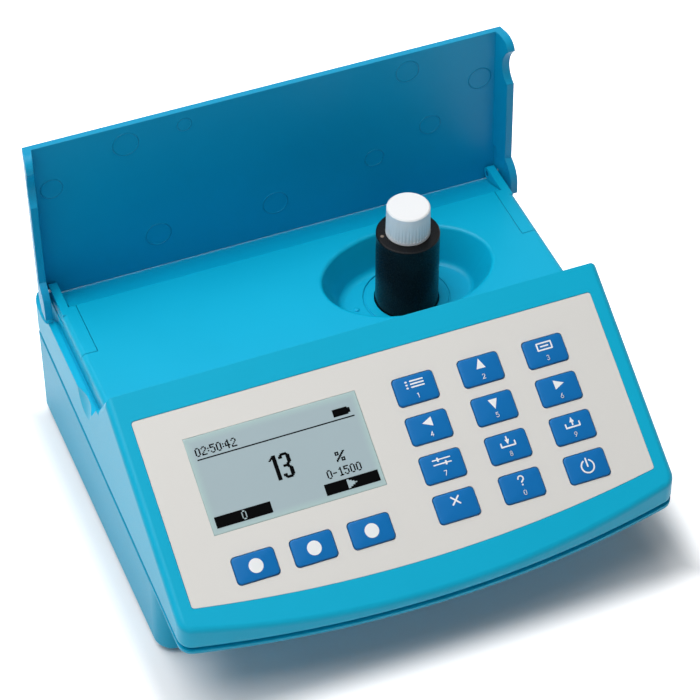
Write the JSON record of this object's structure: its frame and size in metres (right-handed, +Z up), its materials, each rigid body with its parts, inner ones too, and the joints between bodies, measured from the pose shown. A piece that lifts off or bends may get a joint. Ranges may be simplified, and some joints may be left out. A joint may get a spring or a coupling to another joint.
{
  "type": "multiparameter bench photometer with hinged lid",
  "caption": "Bench photometer with a sloping keypad panel and display, a hinged lid standing open over the deck, and a capped vial in an adapter in the cuvette well.",
  "frame": {"origin": "centre of the bounding box's bottom face in the rest pose, on the surface that the rubber feet stand on", "axes": "+X to the right of the person who faces the keypad, +Y to the back, +Z up"},
  "size_m": [0.2088, 0.1898, 0.1442],
  "materials": {
    "blue_housing": "semi-gloss moulded plastic",
    "blue_base": "satin moulded plastic",
    "blue_lid": "semi-gloss moulded plastic",
    "blue_key": "satin coated silicone",
    "grey_label": "fine textured film",
    "clear_window": "polished",
    "display_glass": "polished",
    "grey_silicone": "soft matt",
    "green_board": "lacquered",
    "black_plastic": "satin",
    "black_sleeve": "fine turned satin",
    "black_foam": "open-pored",
    "clear_glass": "polished",
    "filter_mirror": "thin-film coated",
    "dark_sensor": "polished",
    "sample": "clear tinted liquid",
    "white_cap": "satin moulded plastic",
    "battery_wrap": "shrink film",
    "strap_steel": "rolled",
    "shell_steel": "plated",
    "pin_steel": "ground",
    "screw_steel": "zinc plated",
    "white_tongue": "satin",
    "grey_cable": "satin",
    "foot_rubber": "soft matt"
  },
  "bodies": {
    "case": {"battery_pack": "battery_wrap", "battery_strap": "strap_steel", "beam_splitter": "clear_glass", "board_screws": "screw_steel", "buzzer": "black_plastic", "case_screws": "screw_steel", "charge_socket": "shell_steel", "cuvette_holder": "black_plastic", "detector_board": "green_board", "detector_lens": "clear_glass", "display_gasket": "black_foam", "display_module": "display_glass", "display_window": "clear_window", "electrode_jack": "black_plastic", "flat_cable": "grey_cable", "hinge_bracket_left": "blue_housing", "hinge_bracket_right": "blue_housing", "hinge_pin_left": "pin_steel", "hinge_pin_right": "pin_steel", "hinge_screws": "screw_steel", "interference_filter": "filter_mirror", "key_contact_mat": "grey_silicone", "keypad_label": "grey_label", "led_board": "green_board", "led_lamp": "clear_glass", "light_lens": "clear_glass", "lower_housing": "blue_base", "main_board": "green_board", "rear_board": "green_board", "reference_board": "green_board", "reference_detector": "dark_sensor", "rubber_feet": "foot_rubber", "sample_detector": "dark_sensor", "upper_housing": "blue_housing", "usb_socket": "shell_steel", "usb_tongue": "white_tongue", "well_seal": "black_foam"},
    "lid": {"lid": "blue_lid"},
    "adapter": {"vial_adapter": "black_sleeve"},
    "vial": {"vial_glass": "clear_glass", "sample_liquid": "sample"},
    "cap": {"vial_cap": "white_cap"},
    "function_key_1": {"function_key_1": "blue_key"},
    "function_key_2": {"function_key_2": "blue_key"},
    "function_key_3": {"function_key_3": "blue_key"},
    "key_row1_1": {"key_row1_1": "blue_key"},
    "key_row1_2": {"key_row1_2": "blue_key"},
    "key_row1_3": {"key_row1_3": "blue_key"},
    "key_row2_1": {"key_row2_1": "blue_key"},
    "key_row2_2": {"key_row2_2": "blue_key"},
    "key_row2_3": {"key_row2_3": "blue_key"},
    "key_row3_1": {"key_row3_1": "blue_key"},
    "key_row3_2": {"key_row3_2": "blue_key"},
    "key_row3_3": {"key_row3_3": "blue_key"},
    "key_row4_1": {"key_row4_1": "blue_key"},
    "key_row4_2": {"key_row4_2": "blue_key"},
    "key_row4_3": {"key_row4_3": "blue_key"}
  },
  "joints": [
    {"name": "lid_hinge", "type": "hinge", "parent": "case", "child": "lid", "pos_m": [0, 0.08455, 0.0732], "axis": [-1, 0, 0], "range_deg": [-45, 0]},
    {"name": "adapter_lift", "type": "slide", "parent": "case", "child": "adapter", "axis": [0, 0, 1], "range_m": [0, 0.06]},
    {"name": "vial_lift", "type": "slide", "parent": "adapter", "child": "vial", "axis": [0, 0, 1], "range_m": [0, 0.085]},
    {"name": "cap_turn", "type": "hinge", "parent": "vial", "child": "cap", "pos_m": [0.0395, 0.03925, 0.1041], "axis": [0, 0, 1], "range_deg": [0, 360]},
    {"name": "function_key_1_press", "type": "slide", "parent": "case", "child": "function_key_1", "axis": [0, 0.5113, -0.8594], "range_m": [0, 0.0008], "stiffness_N_per_m": 1200, "springref_m": -0.0001},
    {"name": "function_key_2_press", "type": "slide", "parent": "case", "child": "function_key_2", "axis": [0, 0.5113, -0.8594], "range_m": [0, 0.0008], "stiffness_N_per_m": 1200, "springref_m": -0.0001},
    {"name": "function_key_3_press", "type": "slide", "parent": "case", "child": "function_key_3", "axis": [0, 0.5113, -0.8594], "range_m": [0, 0.0008], "stiffness_N_per_m": 1200, "springref_m": -0.0001},
    {"name": "key_row1_1_press", "type": "slide", "parent": "case", "child": "key_row1_1", "axis": [0, 0.5113, -0.8594], "range_m": [0, 0.0008], "stiffness_N_per_m": 1200, "springref_m": -0.0001},
    {"name": "key_row1_2_press", "type": "slide", "parent": "case", "child": "key_row1_2", "axis": [0, 0.5113, -0.8594], "range_m": [0, 0.0008], "stiffness_N_per_m": 1200, "springref_m": -0.0001},
    {"name": "key_row1_3_press", "type": "slide", "parent": "case", "child": "key_row1_3", "axis": [0, 0.5113, -0.8594], "range_m": [0, 0.0008], "stiffness_N_per_m": 1200, "springref_m": -0.0001},
    {"name": "key_row2_1_press", "type": "slide", "parent": "case", "child": "key_row2_1", "axis": [0, 0.5113, -0.8594], "range_m": [0, 0.0008], "stiffness_N_per_m": 1200, "springref_m": -0.0001},
    {"name": "key_row2_2_press", "type": "slide", "parent": "case", "child": "key_row2_2", "axis": [0, 0.5113, -0.8594], "range_m": [0, 0.0008], "stiffness_N_per_m": 1200, "springref_m": -0.0001},
    {"name": "key_row2_3_press", "type": "slide", "parent": "case", "child": "key_row2_3", "axis": [0, 0.5113, -0.8594], "range_m": [0, 0.0008], "stiffness_N_per_m": 1200, "springref_m": -0.0001},
    {"name": "key_row3_1_press", "type": "slide", "parent": "case", "child": "key_row3_1", "axis": [0, 0.5113, -0.8594], "range_m": [0, 0.0008], "stiffness_N_per_m": 1200, "springref_m": -0.0001},
    {"name": "key_row3_2_press", "type": "slide", "parent": "case", "child": "key_row3_2", "axis": [0, 0.5113, -0.8594], "range_m": [0, 0.0008], "stiffness_N_per_m": 1200, "springref_m": -0.0001},
    {"name": "key_row3_3_press", "type": "slide", "parent": "case", "child": "key_row3_3", "axis": [0, 0.5113, -0.8594], "range_m": [0, 0.0008], "stiffness_N_per_m": 1200, "springref_m": -0.0001},
    {"name": "key_row4_1_press", "type": "slide", "parent": "case", "child": "key_row4_1", "axis": [0, 0.5113, -0.8594], "range_m": [0, 0.0008], "stiffness_N_per_m": 1200, "springref_m": -0.0001},
    {"name": "key_row4_2_press", "type": "slide", "parent": "case", "child": "key_row4_2", "axis": [0, 0.5113, -0.8594], "range_m": [0, 0.0008], "stiffness_N_per_m": 1200, "springref_m": -0.0001},
    {"name": "key_row4_3_press", "type": "slide", "parent": "case", "child": "key_row4_3", "axis": [0, 0.5113, -0.8594], "range_m": [0, 0.0008], "stiffness_N_per_m": 1200, "springref_m": -0.0001}
  ]
}
